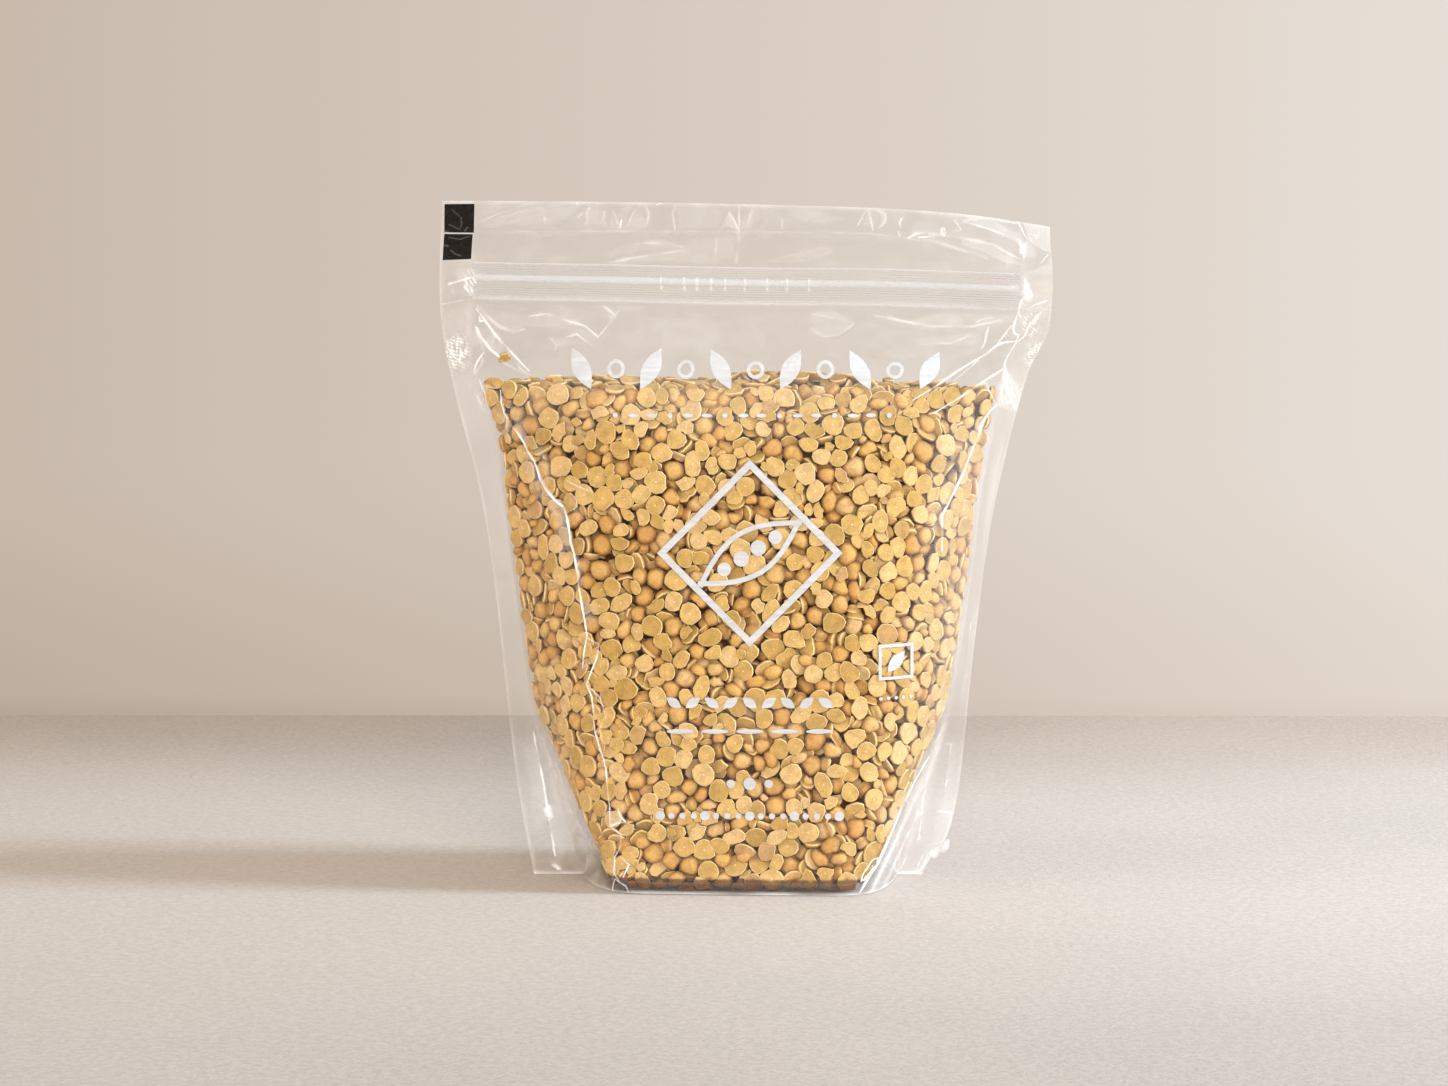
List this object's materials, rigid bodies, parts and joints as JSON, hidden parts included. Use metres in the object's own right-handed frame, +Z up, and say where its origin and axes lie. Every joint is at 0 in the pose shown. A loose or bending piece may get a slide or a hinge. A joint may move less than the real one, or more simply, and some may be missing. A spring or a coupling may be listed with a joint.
{
  "type": "bag of split peas",
  "caption": "Clear stand-up food pouch with a press-to-close zip, heat-sealed and full of yellow split peas.",
  "frame": {"origin": "on the ground under the middle of the standing pouch", "axes": "+Z up, the front panel faces -Y, +X to the right of someone looking at the front"},
  "size_m": [0.1612, 0.063, 0.1789],
  "materials": {
    "film": "clear glossy film",
    "peas": "dry, matt",
    "zip": "milky, satin"
  },
  "bodies": {
    "root": {"pouch": "film", "split_peas": "peas", "zip_strip_front": "zip", "zip_strip_back": "zip"}
  },
  "joints": []
}
